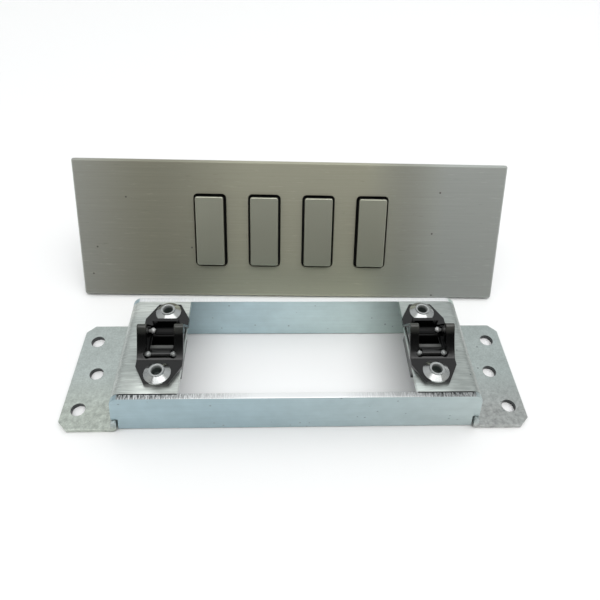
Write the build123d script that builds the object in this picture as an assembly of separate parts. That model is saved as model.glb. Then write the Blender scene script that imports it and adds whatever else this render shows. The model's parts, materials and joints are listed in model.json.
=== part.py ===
"""Switch panel: a brushed plate with four push keys, stood behind its own mounting frame.

The frame lies flat: two folded end brackets joined by two rails, with a sprung catch riveted
to each bracket. The panel leans on its rear housing. Its two strikes snap into the catches.
Millimetres, +Z up, origin at the centre of the frame's mounting face. X runs along the panel.
"""
from build123d import *
import math
import os

# Keys
KEY_COUNT = 4
KEY_PITCH = 22.5
KEY_WIDTH = 11.5
KEY_HEIGHT = 28.5
KEY_PROUD = 2.6
KEY_CORNER = 0.9
KEY_EDGE = 0.45
KEY_GAP = 1.0
KEY_WALL = 1.3
KEY_TRAVEL = 1.5
KEY_FLANGE = 1.2
KEY_OVERLAP = 1.0
KEY_SEAT_GAP = 0.3
STEM_D = 5.0
STEM_PLAY = 0.3
STEM_REACH = 2.5

# Face plate
PLATE_THICKNESS = 3.0
PLATE_CORNER = 1.0
PLATE_CHAMFER = 0.8
CUTOUT_CORNER = 1.8

# Key carrier and rear cover
POCKET_PLAY = 0.3
CARRIER_SIDE_WALL = 1.7
CARRIER_END_WALL = 2.45
CARRIER_FLOOR = 1.7
COVER_WALL = 1.5
COVER_CORNER = 2.0
REAR_SPACE = 5.3
EAR_STUD_OFFSET = 3.6
CARRIER_EAR = 2.0
CARRIER_EAR_R = 3.7

# Push switches and circuit board
SWITCH_SIZE = 6.0
SWITCH_HEIGHT = 3.2
SWITCH_FLOOR = 0.6
PLUNGER_D = 3.2
PLUNGER_PLAY = 0.2
BOARD_THICKNESS = 1.6
BOARD_PLAY = 0.3
POST_D = 5.0
POST_INSET = 4.0
SCREW_D = 2.2
SCREW_HEAD_D = 3.8
SCREW_HEAD = 1.3
SCREW_BITE = 3.0
HOLE_PLAY = 0.1

# Terminal block
POLE_COUNT = 5
POLE_PITCH = 5.0
TERMINAL_HEIGHT = 10.0
TERMINAL_RAISE = 8.0
TERMINAL_PLAY = 0.4
TERMINAL_RECESS = 0.4
TERMINAL_SCREW_D = 3.0
WIRE_HOLE_D = 2.6
WIRE_HOLE_DEPTH = 3.5

# Studs and nuts on the back of the plate
STUD_D = 3.0
STUD_END = 0.8
NUT_FLATS = 5.5
NUT_HEIGHT = 2.4

# Catch
JAW_WIDTH = 8.2
JAW_PLAY = 0.3
JAW_HUB_WIDTH = 6.7
JAW_HUB_R = 1.2
JAW_HUB_PLAY = 0.9
JAW_NECK = 0.8
JAW_PIN_D = 1.3
JAW_PIN_PLAY = 0.04
BEAD_D = 2.1
BEAD_CLEAR = 0.08
BEAD_GAP = 0.05
PIN_OFFSET = 5.2
PIN_HEIGHT = 1.2
PIN_END_GAP = 0.2
MOUTH_HALF = 2.1
LIP_HEIGHT = 2.2
FRONT_LIP = 1.7
REAR_LIP = 0.6
LIP_SLOPE = 1.4
THROAT_HALF = 1.8
BEAK_HALF = 1.0
BEAK_DEPTH = 3.9
BEAK_WIDTH = 1.9
PIN_CLEAR = 0.3
WINDOW_STEP = 0.35
STRAP_WIDTH = 3.15
STRAP_DROP = 1.5
SIDE_RECESS = 1.0
CAVITY_LAP = 0.3
SIGHT_TILT = 45
EAR_THICKNESS = 1.6
EAR_END = 4.1
EAR_END_WIDTH = 8.1
EAR_TAPER = 7.0
HUMP_FRONT = 8.0
CREST_Y = 1.2
CATCH_CREST = 10.1
CREST_ROUND = 1.2
RAMP_BOW = 0.45
FOOT_BEND = 2.2
TAB_WIDTH = 9.4
TAB_THICKNESS = 1.4
TAB_HEIGHT = 4.0
SKIRT_WALL = 1.5
SKIRT_END_WALL = 1.3
SKIRT_CLEAR = 0.1
WELL_DEPTH = 8.3
WELL_FLOOR = 1.2
LEAF_THICKNESS = 0.3
LEAF_WIDTH = 6.0
LEAF_FOOT = 3.0
LEAF_GAP = 0.1

# Blind rivets
RIVET_SHANK_D = 4.9
RIVET_HEAD_D = 9.1
RIVET_RIM = 0.35
RIVET_RISE = 2.1
RIVET_RING_D = 5.1
RIVET_BORE_D = 3.7
RIVET_BORE_DEPTH = 4.0
RIVET_TAIL_D = 7.2
RIVET_TAIL = 1.0
RIVET_CLEAR = 0.1

# Strikes
STRIKE_SIDE_PLAY = 0.6
STRIKE_CLEAR = 0.25
STRIKE_FOOT = 1.5
STRIKE_FOOT_HALF = 10.0
STRIKE_STUD_OFFSET = 6.0
STRIKE_BLADE = 1.6
STRIKE_BARB_HALF = 1.8
STRIKE_TIP_HALF = 0.4
STRIKE_HEAD = 3.4
SEAT_CLEAR = 1.0

# Mounting frame
SHEET = 2.0
FRAME_HEIGHT = 20.5
BEND_INSIDE = 2.5
FLANGE_BEND = 0.6
LUG_STRIP = 1.25
LUG_LENGTH = 22.0
WALL_SPLAY = 3.5
HOUSING_CLEAR = 1.25
FLANGE_LENGTH = 19.0
FLANGE_LIP = 0.95
FLANGE_CHAMFER = 3.2
TONGUE_HEIGHT = 6.5
TONGUE_ROUND = 0.8
RAIL_LIFT = 0.5
NOTCH_CLEAR = 0.3
FRAME_HOLE_D = 5.0
CORNER_HOLE_INSET = 5.75
CORNER_HOLE_ROW = 15.25
MIDDLE_HOLE_INSET = 8.75

# Plate overhang past the frame, and where the panel stands
PLATE_OVERHANG = 4.5
PLATE_COVER = 5.3
PANEL_GAP = 19.6
PANEL_SHIFT = -1.6
PANEL_YAW = -0.9

# Sizes that follow across the panel
CUTOUT_WIDTH = KEY_WIDTH + 2 * KEY_GAP
CUTOUT_HEIGHT = KEY_HEIGHT + 2 * KEY_GAP
KEY_FLANGE_WIDTH = CUTOUT_WIDTH + 2 * KEY_OVERLAP
KEY_FLANGE_HEIGHT = CUTOUT_HEIGHT + 2 * KEY_OVERLAP
POCKET_WIDTH = KEY_FLANGE_WIDTH + 2 * POCKET_PLAY
POCKET_HEIGHT = KEY_FLANGE_HEIGHT + 2 * POCKET_PLAY
CARRIER_LENGTH = (KEY_COUNT - 1) * KEY_PITCH + POCKET_WIDTH + 2 * CARRIER_SIDE_WALL
HOUSING_HEIGHT = POCKET_HEIGHT + 2 * CARRIER_END_WALL
KEY_X = [(i - (KEY_COUNT - 1) / 2) * KEY_PITCH for i in range(KEY_COUNT)]

# Sizes that follow across the catch and the frame
STRIKE_WIDTH = JAW_WIDTH - 2 * STRIKE_SIDE_PLAY
CATCH_X = (CARRIER_LENGTH + STRIKE_WIDTH) / 2 + STRIKE_CLEAR
WELL_HALF_X = JAW_WIDTH / 2 + JAW_PLAY
WELL_HALF_Y = PIN_OFFSET + JAW_HUB_R + JAW_HUB_PLAY
BEAD_X = JAW_HUB_WIDTH / 2 + BEAD_GAP + BEAD_D / 2
SKIRT_HALF_X = WELL_HALF_X + SKIRT_WALL
SKIRT_HALF_Y = WELL_HALF_Y + SKIRT_END_WALL
WINDOW_HALF_X = WELL_HALF_X + WINDOW_STEP
STRAP_HALF_X = WINDOW_HALF_X + STRAP_WIDTH
WALL_HALF_X = STRAP_HALF_X - SIDE_RECESS
CAVITY_HALF_X = SKIRT_HALF_X - CAVITY_LAP
RIVET_HOLE_D = RIVET_SHANK_D + HOLE_PLAY
RIVET_Y = WELL_HALF_Y + TAB_THICKNESS + RIVET_CLEAR + RIVET_HEAD_D / 2
EAR_HALF_Y = RIVET_Y + EAR_END
OPENING_HALF_X = CATCH_X - SKIRT_HALF_X - SKIRT_CLEAR - LUG_STRIP
COVER_LENGTH = 2 * (OPENING_HALF_X - HOUSING_CLEAR)
OPENING_DEPTH = HOUSING_HEIGHT + 2 * HOUSING_CLEAR
WALL_X = OPENING_HALF_X + LUG_LENGTH
FOOT_X = WALL_X + WALL_SPLAY
WALL_LEAN = math.atan(WALL_SPLAY / (FRAME_HEIGHT - SHEET))
WALL_WIDTH = SHEET / math.cos(WALL_LEAN)
WALL_STEP = SHEET * math.tan(math.pi / 4 - WALL_LEAN / 2)
FLANGE_X = FOOT_X + FLANGE_LENGTH
FRAME_DEPTH = OPENING_DEPTH + 2 * SHEET
FLANGE_DEPTH = FRAME_DEPTH + 2 * FLANGE_LIP
BEND_OUTSIDE = BEND_INSIDE + SHEET
PLATE_LENGTH = 2 * FLANGE_X + 2 * PLATE_OVERHANG
PLATE_HEIGHT = FLANGE_DEPTH + 2 * PLATE_COVER
MID_Z = PLATE_HEIGHT / 2

# Depths behind the plate, counted from its back face
FLANGE_BACK = KEY_SEAT_GAP + KEY_FLANGE
POCKET_DEPTH = FLANGE_BACK + KEY_TRAVEL + KEY_SEAT_GAP
CARRIER_DEPTH = POCKET_DEPTH + CARRIER_FLOOR
STEM_END = FLANGE_BACK + STEM_REACH
SWITCH_FRONT = STEM_END + KEY_TRAVEL + KEY_SEAT_GAP
BOARD_FRONT = SWITCH_FRONT + SWITCH_HEIGHT
BOARD_BACK = BOARD_FRONT + BOARD_THICKNESS
HOUSING_DEPTH = BOARD_BACK + REAR_SPACE
SEAT_GAP = CATCH_CREST + SEAT_CLEAR
BARB_DEPTH = SEAT_GAP + BEAK_DEPTH + LEAF_GAP
STUD_Z = HOUSING_HEIGHT / 2 + EAR_STUD_OFFSET
STUD_X = KEY_PITCH
POST_X = COVER_LENGTH / 2 - COVER_WALL - BOARD_PLAY - POST_INSET
POST_Z = HOUSING_HEIGHT / 2 - COVER_WALL - BOARD_PLAY - POST_INSET
TERMINAL_LENGTH = POLE_COUNT * POLE_PITCH
TERMINAL_BACK = HOUSING_DEPTH - TERMINAL_RECESS

# The panel leans until its housing and the plate's lower edge both stand on the floor
LEAN = math.degrees(math.atan((PLATE_HEIGHT - HOUSING_HEIGHT) / 2 / HOUSING_DEPTH))
PANEL_Y = FLANGE_DEPTH / 2 + PANEL_GAP
PANEL_PLACE = Pos(PANEL_SHIFT, PANEL_Y, 0) * Rot(0, 0, PANEL_YAW) * Rot(-LEAN, 0, 0)


def outline(*points):
    """Closed face through plane points."""
    return make_face(Polyline(*points, close=True))


def round_corner(face, x, y, radius):
    """Round the one corner of a plane face that lies at x, y."""
    corner = face.vertices().sort_by(lambda v: (v.X - x) ** 2 + (v.Y - y) ** 2)[0]
    return fillet(corner, radius)


def across_x(face, width):
    """Extrude a profile drawn in Y and Z, centred on X."""
    return extrude(Plane.YZ * face, amount=width / 2, both=True)


def across_y(face, width):
    """Extrude a profile drawn in X and Z, centred on Y."""
    return extrude(Plane.XZ * face, amount=width / 2, both=True)


def slab(face, front, back):
    """Extrude a face drawn on the panel from one depth to another."""
    return Pos(0, front, 0) * extrude(Plane.XZ * face, amount=front - back)


def on_panel(face, x, z):
    """Put a face at a place on the panel, counted from the middle of the plate's lower edge."""
    return Pos(x, z) * face


def wall_face(z):
    """Outer face of the frame's leaning wall at a height."""
    return WALL_X + (FRAME_HEIGHT - z) * math.tan(WALL_LEAN)


def end_bracket():
    """Right end bracket: lug plate, leaning wall and flange folded from one sheet."""
    profile = outline(
        (OPENING_HALF_X, FRAME_HEIGHT), (WALL_X, FRAME_HEIGHT), (FOOT_X, SHEET), (FLANGE_X, SHEET),
        (FLANGE_X, 0), (FOOT_X - WALL_STEP, 0), (WALL_X - WALL_STEP, FRAME_HEIGHT - SHEET),
        (OPENING_HALF_X, FRAME_HEIGHT - SHEET))
    profile = round_corner(profile, WALL_X, FRAME_HEIGHT, BEND_OUTSIDE)
    profile = round_corner(profile, WALL_X - WALL_STEP, FRAME_HEIGHT - SHEET, BEND_INSIDE)
    profile = round_corner(profile, FOOT_X, SHEET, FLANGE_BEND)
    profile = round_corner(profile, FOOT_X - WALL_STEP, 0, FLANGE_BEND + SHEET)

    # The flange and the wall's foot run out past the rails, as a tongue at each side
    foot = profile & Pos(FLANGE_X / 2, TONGUE_HEIGHT / 2) * Rectangle(FLANGE_X, TONGUE_HEIGHT)
    tongue_x = wall_face(TONGUE_HEIGHT)
    foot = round_corner(foot, tongue_x, TONGUE_HEIGHT, TONGUE_ROUND)
    foot = round_corner(foot, tongue_x - WALL_WIDTH, TONGUE_HEIGHT, TONGUE_ROUND)
    half = FLANGE_DEPTH / 2
    corner = outline((FLANGE_X - FLANGE_CHAMFER, half), (FLANGE_X, half - FLANGE_CHAMFER), (FLANGE_X, half))
    bracket = across_y(profile, OPENING_DEPTH) + across_y(foot, FLANGE_DEPTH)
    bracket = bracket - extrude(corner + mirror(corner, about=Plane.XZ), amount=SHEET)

    corner_x = FLANGE_X - CORNER_HOLE_INSET
    middle_x = FLANGE_X - MIDDLE_HOLE_INSET
    for x, y in ((corner_x, CORNER_HOLE_ROW), (corner_x, -CORNER_HOLE_ROW), (middle_x, 0)):
        bracket = bracket - Pos(x, y, SHEET / 2) * Cylinder(FRAME_HOLE_D / 2, 2 * SHEET)
    lug_mid = FRAME_HEIGHT - SHEET / 2
    bracket = bracket - Pos(CATCH_X, 0, lug_mid) * Box(
        2 * (SKIRT_HALF_X + SKIRT_CLEAR), 2 * (SKIRT_HALF_Y + SKIRT_CLEAR), 2 * SHEET)
    for y in (RIVET_Y, -RIVET_Y):
        bracket = bracket - Pos(CATCH_X, y, lug_mid) * Cylinder(RIVET_HOLE_D / 2, 2 * SHEET)
    return bracket


def rail():
    """Rail strip, centred on Y: its ends follow the bracket's wall and clear the tongues."""
    notch_z = TONGUE_HEIGHT + NOTCH_CLEAR
    end = wall_face(notch_z)
    notch_x = end - WALL_WIDTH - NOTCH_CLEAR
    foot_x = wall_face(RAIL_LIFT) - WALL_WIDTH - NOTCH_CLEAR
    strip = outline(
        (-foot_x, RAIL_LIFT), (foot_x, RAIL_LIFT), (notch_x, notch_z), (end, notch_z),
        (WALL_X, FRAME_HEIGHT), (-WALL_X, FRAME_HEIGHT), (-end, notch_z), (-notch_x, notch_z))
    strip = round_corner(strip, WALL_X, FRAME_HEIGHT, BEND_OUTSIDE)
    strip = round_corner(strip, -WALL_X, FRAME_HEIGHT, BEND_OUTSIDE)
    return across_y(strip, SHEET)


def catch_hump():
    """Side view of the catch's hump: a bowed ramp from the front ear, a crest and a steep rear."""
    toe = -HUMP_FRONT - FOOT_BEND
    hump = make_face([
        Polyline((toe, 0), (toe, EAR_THICKNESS), (-HUMP_FRONT, EAR_THICKNESS)),
        SagittaArc((-HUMP_FRONT, EAR_THICKNESS), (CREST_Y, CATCH_CREST), -RAMP_BOW),
        Polyline((CREST_Y, CATCH_CREST), (WELL_HALF_Y, EAR_THICKNESS), (WELL_HALF_Y, 0), (toe, 0)),
    ])
    hump = round_corner(hump, -HUMP_FRONT, EAR_THICKNESS, FOOT_BEND)
    return round_corner(hump, CREST_Y, CATCH_CREST, CREST_ROUND)


def catch_body():
    """Catch: two pointed ears, two straps that bridge the mouth, and a well below the lug."""
    shoulder = EAR_HALF_Y - EAR_TAPER
    ears = outline(
        (STRAP_HALF_X, -shoulder), (STRAP_HALF_X, shoulder), (EAR_END_WIDTH / 2, EAR_HALF_Y),
        (-EAR_END_WIDTH / 2, EAR_HALF_Y), (-STRAP_HALF_X, shoulder), (-STRAP_HALF_X, -shoulder),
        (-EAR_END_WIDTH / 2, -EAR_HALF_Y), (EAR_END_WIDTH / 2, -EAR_HALF_Y))
    hump = catch_hump()
    body = extrude(ears, amount=EAR_THICKNESS) + across_x(hump, 2 * STRAP_HALF_X)
    body = body + Pos(0, WELL_HALF_Y + TAB_THICKNESS / 2, TAB_HEIGHT / 2) * Box(
        TAB_WIDTH, TAB_THICKNESS, TAB_HEIGHT)

    room = Pos(0, CATCH_CREST / 2) * Rectangle(2 * WELL_HALF_Y, CATCH_CREST)
    below_straps = (Pos(0, -STRAP_DROP) * hump) & room
    body = body - across_x(below_straps, 2 * CAVITY_HALF_X)
    side = across_x(below_straps, 2 * SIDE_RECESS)
    for x in (STRAP_HALF_X, -STRAP_HALF_X):
        body = body - Pos(x, 0, 0) * side
    body = body + Pos(0, 0, -(WELL_DEPTH + WELL_FLOOR) / 2) * Box(
        2 * SKIRT_HALF_X, 2 * SKIRT_HALF_Y, WELL_DEPTH + WELL_FLOOR)
    body = body - Pos(0, 0, CATCH_CREST / 2) * Box(2 * WINDOW_HALF_X, 2 * WELL_HALF_Y, CATCH_CREST)
    body = body - Pos(0, 0, -WELL_DEPTH / 2) * Box(2 * WELL_HALF_X, 2 * WELL_HALF_Y, WELL_DEPTH)

    sight = Pos(0, 0, CATCH_CREST / 2) * Cylinder(BEAD_D / 2 + BEAD_CLEAR, CATCH_CREST)
    for x in (BEAD_X, -BEAD_X):
        body = body - Pos(x, -PIN_OFFSET, PIN_HEIGHT) * Rot(SIGHT_TILT, 0, 0) * sight
    pin_bore = Cylinder(JAW_PIN_D / 2, 2 * WALL_HALF_X)
    for y in (PIN_OFFSET, -PIN_OFFSET):
        body = body - Pos(0, y, PIN_HEIGHT) * Rot(0, 90, 0) * pin_bore
    for y in (RIVET_Y, -RIVET_Y):
        body = body - Pos(0, y, EAR_THICKNESS / 2) * Cylinder(RIVET_HOLE_D / 2, 2 * EAR_THICKNESS)
    return body


def jaw(lip):
    """Rear jaw: a lip over the mouth, a beak below it and a hub on the pin."""
    back = PIN_OFFSET - BEAD_D / 2 - PIN_CLEAR
    lip_back = MOUTH_HALF + lip
    finger = outline(
        (MOUTH_HALF, LIP_HEIGHT), (lip_back, LIP_HEIGHT),
        (back, LIP_HEIGHT - LIP_SLOPE * (back - lip_back)),
        (back, PIN_HEIGHT - JAW_HUB_R), (BEAK_HALF + BEAK_WIDTH, -BEAK_DEPTH),
        (BEAK_HALF + PIN_CLEAR, -BEAK_DEPTH), (BEAK_HALF, PIN_CLEAR - BEAK_DEPTH),
        (THROAT_HALF, PIN_HEIGHT), (THROAT_HALF, LIP_HEIGHT - PIN_CLEAR))
    hub = Pos(PIN_OFFSET, PIN_HEIGHT) * Circle(JAW_HUB_R)
    neck_top = LIP_HEIGHT - PIN_CLEAR
    neck = outline(
        (back - JAW_NECK, neck_top), (PIN_OFFSET, neck_top),
        (PIN_OFFSET, PIN_HEIGHT - JAW_HUB_R), (back - JAW_NECK, PIN_HEIGHT - JAW_HUB_R))
    solid = across_x(finger, JAW_WIDTH) + across_x(hub + neck, JAW_HUB_WIDTH)
    bore = Cylinder(JAW_PIN_D / 2 + JAW_PIN_PLAY, JAW_WIDTH)
    return solid - Pos(0, PIN_OFFSET, PIN_HEIGHT) * Rot(0, 90, 0) * bore


def jaw_pin():
    """Steel pin through both walls of the catch, with a bead on each side that keeps the jaw central."""
    pin = Rot(0, 90, 0) * Cylinder(JAW_PIN_D / 2, 2 * (WALL_HALF_X - PIN_END_GAP))
    for x in (BEAD_X, -BEAD_X):
        pin = pin + Pos(x, 0, 0) * Sphere(BEAD_D / 2)
    return Pos(0, PIN_OFFSET, PIN_HEIGHT) * pin


def jaw_spring():
    """Bent leaf that stands on the well's floor and presses the jaw's back towards the mouth."""
    wall = WELL_HALF_Y - LEAF_THICKNESS / 2
    knee = LEAF_FOOT - WELL_DEPTH
    heel = BEAK_HALF + BEAK_WIDTH + LEAF_THICKNESS + LEAF_GAP
    path = Polyline((wall, -WELL_DEPTH), (wall, knee), (heel, -BEAK_DEPTH))
    return across_x(trace(path, LEAF_THICKNESS), LEAF_WIDTH)


def rivet():
    """Blind rivet: coned and bored head on the ear, shank through ear and lug, tail swelled below."""
    top = EAR_THICKNESS + RIVET_RISE
    bore = RIVET_BORE_D / 2
    ring = RIVET_RING_D / 2
    lip = (ring - bore) / 2
    tail = -SHEET - RIVET_TAIL
    section = outline(
        (0, top - RIVET_BORE_DEPTH), (bore, top - RIVET_BORE_DEPTH), (bore, top - lip),
        (bore + lip, top), (ring, top),
        (RIVET_HEAD_D / 2, EAR_THICKNESS + RIVET_RIM), (RIVET_HEAD_D / 2, EAR_THICKNESS),
        (RIVET_SHANK_D / 2, EAR_THICKNESS), (RIVET_SHANK_D / 2, -SHEET), (RIVET_TAIL_D / 2, -SHEET),
        (RIVET_TAIL_D / 2, tail + RIVET_TAIL / 2), (RIVET_SHANK_D / 2, tail), (0, tail))
    return revolve(Plane.XZ * section, Axis.Z)


def face_plate():
    """Plate with rounded corners, a bevelled front edge and one cut-out for each key."""
    face = on_panel(RectangleRounded(PLATE_LENGTH, PLATE_HEIGHT, PLATE_CORNER), 0, MID_Z)
    plate = slab(face, -PLATE_THICKNESS, 0)
    rim = plate.faces().sort_by(Axis.Y)[0].edges()
    plate = chamfer(rim, PLATE_CHAMFER)
    for x in KEY_X:
        cut = on_panel(RectangleRounded(CUTOUT_WIDTH, CUTOUT_HEIGHT, CUTOUT_CORNER), x, MID_Z)
        plate = plate - slab(cut, -2 * PLATE_THICKNESS, PLATE_THICKNESS)
    return plate


def key(x):
    """Key: hollow cap through the plate, a flange that keeps it in and a stem to its switch."""
    front = -PLATE_THICKNESS - KEY_PROUD
    cap = slab(on_panel(RectangleRounded(KEY_WIDTH, KEY_HEIGHT, KEY_CORNER), x, MID_Z), front, FLANGE_BACK)
    cap = fillet(cap.faces().sort_by(Axis.Y)[0].edges(), KEY_EDGE)
    flange = on_panel(RectangleRounded(KEY_FLANGE_WIDTH, KEY_FLANGE_HEIGHT, CUTOUT_CORNER), x, MID_Z)
    solid = cap + slab(flange, KEY_SEAT_GAP, FLANGE_BACK)
    hollow = on_panel(Rectangle(KEY_WIDTH - 2 * KEY_WALL, KEY_HEIGHT - 2 * KEY_WALL), x, MID_Z)
    solid = solid - slab(hollow, front + KEY_WALL, FLANGE_BACK)
    stem = on_panel(Circle(STEM_D / 2), x, MID_Z)
    return solid + slab(stem, front + KEY_WALL, STEM_END)


def key_carrier():
    """Moulded carrier: a pocket for each key, ears for the plate's studs and posts for the board."""
    body = slab(on_panel(Rectangle(CARRIER_LENGTH, HOUSING_HEIGHT), 0, MID_Z), 0, CARRIER_DEPTH)
    for x in (STUD_X, -STUD_X):
        for z in (STUD_Z, -STUD_Z):
            tab = on_panel(Circle(CARRIER_EAR_R), x, MID_Z + z)
            tab = tab + on_panel(Rectangle(2 * CARRIER_EAR_R, abs(z)), x, MID_Z + z / 2)
            body = body + slab(tab, 0, CARRIER_EAR)
    for x in KEY_X:
        pocket = on_panel(RectangleRounded(POCKET_WIDTH, POCKET_HEIGHT, CUTOUT_CORNER), x, MID_Z)
        body = body - slab(pocket, 0, POCKET_DEPTH)
        hole = on_panel(Circle(STEM_D / 2 + STEM_PLAY), x, MID_Z)
        body = body - slab(hole, 0, CARRIER_DEPTH)
    for x in (STUD_X, -STUD_X):
        for z in (STUD_Z, -STUD_Z):
            hole = on_panel(Circle(STUD_D / 2 + HOLE_PLAY), x, MID_Z + z)
            body = body - slab(hole, 0, CARRIER_EAR)
    for x, z in post_places():
        post = on_panel(Circle(POST_D / 2), x, z)
        body = body + slab(post, CARRIER_DEPTH, BOARD_FRONT)
    for x, z in post_places():
        pilot = on_panel(Circle(SCREW_D / 2), x, z)
        body = body - slab(pilot, BOARD_FRONT - SCREW_BITE, BOARD_FRONT)
    return body


def post_places():
    """Middles of the four posts that carry the board."""
    return [(x, MID_Z + z) for x in (POST_X, -POST_X) for z in (POST_Z, -POST_Z)]


def terminal_z():
    """Height of the terminal block's middle on the panel."""
    return MID_Z + TERMINAL_RAISE


def pole_places():
    """Middles of the terminal poles along the block."""
    return [(i - (POLE_COUNT - 1) / 2) * POLE_PITCH for i in range(POLE_COUNT)]


def rear_cover():
    """Cover behind the board: an open box with screw bosses and a window for the terminals."""
    outer = on_panel(RectangleRounded(COVER_LENGTH, HOUSING_HEIGHT, COVER_CORNER), 0, MID_Z)
    inner = on_panel(Rectangle(COVER_LENGTH - 2 * COVER_WALL, HOUSING_HEIGHT - 2 * COVER_WALL), 0, MID_Z)
    body = slab(outer, CARRIER_DEPTH, HOUSING_DEPTH)
    body = body - slab(inner, CARRIER_DEPTH, HOUSING_DEPTH - COVER_WALL)
    window = Rectangle(TERMINAL_LENGTH + 2 * TERMINAL_PLAY, TERMINAL_HEIGHT + 2 * TERMINAL_PLAY)
    body = body - slab(on_panel(window, 0, terminal_z()), BOARD_BACK, HOUSING_DEPTH)
    for x, z in post_places():
        boss = on_panel(Circle(POST_D / 2 + COVER_WALL / 2), x, z)
        body = body + slab(boss, BOARD_BACK, HOUSING_DEPTH - COVER_WALL / 2)
    for x, z in post_places():
        body = body - slab(on_panel(Circle(SCREW_D / 2 + HOLE_PLAY), x, z), BOARD_BACK, HOUSING_DEPTH)
        sink = on_panel(Circle(SCREW_HEAD_D / 2 + HOLE_PLAY), x, z)
        body = body - slab(sink, HOUSING_DEPTH - SCREW_HEAD, HOUSING_DEPTH)
    return body


def cover_screws():
    """Screws from the back through cover and board into the carrier's posts."""
    screws = []
    for x, z in post_places():
        head = slab(on_panel(Circle(SCREW_HEAD_D / 2), x, z), HOUSING_DEPTH - SCREW_HEAD, HOUSING_DEPTH)
        shank = slab(on_panel(Circle(SCREW_D / 2), x, z), BOARD_FRONT - SCREW_BITE, HOUSING_DEPTH)
        slot = slab(on_panel(Rectangle(SCREW_HEAD_D, SCREW_HEAD / 2), x, z),
                    HOUSING_DEPTH - SCREW_HEAD / 2, HOUSING_DEPTH)
        screws.append(head + shank - slot)
    return screws


def circuit_board():
    """Board that carries the switches in front and the terminals behind."""
    length = COVER_LENGTH - 2 * COVER_WALL - 2 * BOARD_PLAY
    height = HOUSING_HEIGHT - 2 * COVER_WALL - 2 * BOARD_PLAY
    board = slab(on_panel(Rectangle(length, height), 0, MID_Z), BOARD_FRONT, BOARD_BACK)
    for x, z in post_places():
        hole = on_panel(Circle(SCREW_D / 2 + HOLE_PLAY), x, z)
        board = board - slab(hole, BOARD_FRONT, BOARD_BACK)
    return board


def switch_body(x):
    """Push switch on the board, open in front for its plunger."""
    body = slab(on_panel(Rectangle(SWITCH_SIZE, SWITCH_SIZE), x, MID_Z), SWITCH_FRONT, BOARD_FRONT)
    bore = on_panel(Circle(PLUNGER_D / 2 + PLUNGER_PLAY), x, MID_Z)
    return body - slab(bore, SWITCH_FRONT, BOARD_FRONT - SWITCH_FLOOR)


def switch_plunger(x):
    """Plunger that its switch's spring holds against the key's stem."""
    rod = on_panel(Circle(PLUNGER_D / 2), x, MID_Z)
    return slab(rod, STEM_END, BOARD_FRONT - SWITCH_FLOOR - KEY_TRAVEL - PLUNGER_PLAY)


def terminal_block():
    """Screw terminals: a row of screw wells above a row of wire holes, both facing back."""
    shape = on_panel(Rectangle(TERMINAL_LENGTH, TERMINAL_HEIGHT), 0, terminal_z())
    block = slab(shape, BOARD_BACK, TERMINAL_BACK)
    for x in pole_places():
        well = on_panel(Circle(TERMINAL_SCREW_D / 2 + HOLE_PLAY), x, terminal_z() + TERMINAL_HEIGHT / 4)
        wire = on_panel(Circle(WIRE_HOLE_D / 2), x, terminal_z() - TERMINAL_HEIGHT / 4)
        block = block - slab(well, TERMINAL_BACK - WIRE_HOLE_DEPTH, TERMINAL_BACK)
        block = block - slab(wire, TERMINAL_BACK - WIRE_HOLE_DEPTH, TERMINAL_BACK)
    return block


def terminal_screws():
    """Slotted clamp screws, one in each well."""
    screws = []
    back = TERMINAL_BACK - TERMINAL_RECESS
    for x in pole_places():
        z = terminal_z() + TERMINAL_HEIGHT / 4
        body = slab(on_panel(Circle(TERMINAL_SCREW_D / 2), x, z), TERMINAL_BACK - WIRE_HOLE_DEPTH, back)
        slot = on_panel(Rectangle(TERMINAL_SCREW_D, TERMINAL_RECESS), x, z)
        slot = slab(slot, back - TERMINAL_RECESS, back)
        screws.append(body - slot)
    return screws


def stud_seats():
    """Stud middles on the plate's back, each with the thickness of the piece that it holds."""
    ears = [(x, MID_Z + z, CARRIER_EAR) for x in (STUD_X, -STUD_X) for z in (STUD_Z, -STUD_Z)]
    feet = [(x, MID_Z + z, STRIKE_FOOT) for x in (CATCH_X, -CATCH_X)
            for z in (STRIKE_STUD_OFFSET, -STRIKE_STUD_OFFSET)]
    return ears + feet


def plate_studs():
    """Studs welded to the plate's back."""
    return [slab(on_panel(Circle(STUD_D / 2), x, z), 0, held + NUT_HEIGHT + STUD_END)
            for x, z, held in stud_seats()]


def stud_nuts():
    """Hexagon nuts on the studs."""
    nuts = []
    for x, z, held in stud_seats():
        ring = RegularPolygon(NUT_FLATS / 2, 6, major_radius=False) - Circle(STUD_D / 2 + HOLE_PLAY / 2)
        nuts.append(slab(on_panel(ring, x, z), held, held + NUT_HEIGHT))
    return nuts


def strike():
    """Strike: a foot on the plate's back and a blade with an arrow head for the catch."""
    blade = STRIKE_BLADE / 2
    barb = STRIKE_BARB_HALF
    tip = BARB_DEPTH + STRIKE_HEAD
    section = outline(
        (0, -STRIKE_FOOT_HALF), (STRIKE_FOOT, -STRIKE_FOOT_HALF), (STRIKE_FOOT, -blade),
        (BARB_DEPTH, -blade), (BARB_DEPTH + barb - blade, -barb), (tip, -STRIKE_TIP_HALF),
        (tip, STRIKE_TIP_HALF), (BARB_DEPTH + barb - blade, barb), (BARB_DEPTH, blade),
        (STRIKE_FOOT, blade), (STRIKE_FOOT, STRIKE_FOOT_HALF), (0, STRIKE_FOOT_HALF))
    solid = Pos(0, 0, MID_Z) * across_x(section, STRIKE_WIDTH)
    for z in (STRIKE_STUD_OFFSET, -STRIKE_STUD_OFFSET):
        hole = on_panel(Circle(STUD_D / 2 + HOLE_PLAY), 0, MID_Z + z)
        solid = solid - slab(hole, 0, STRIKE_FOOT)
    return solid


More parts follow.
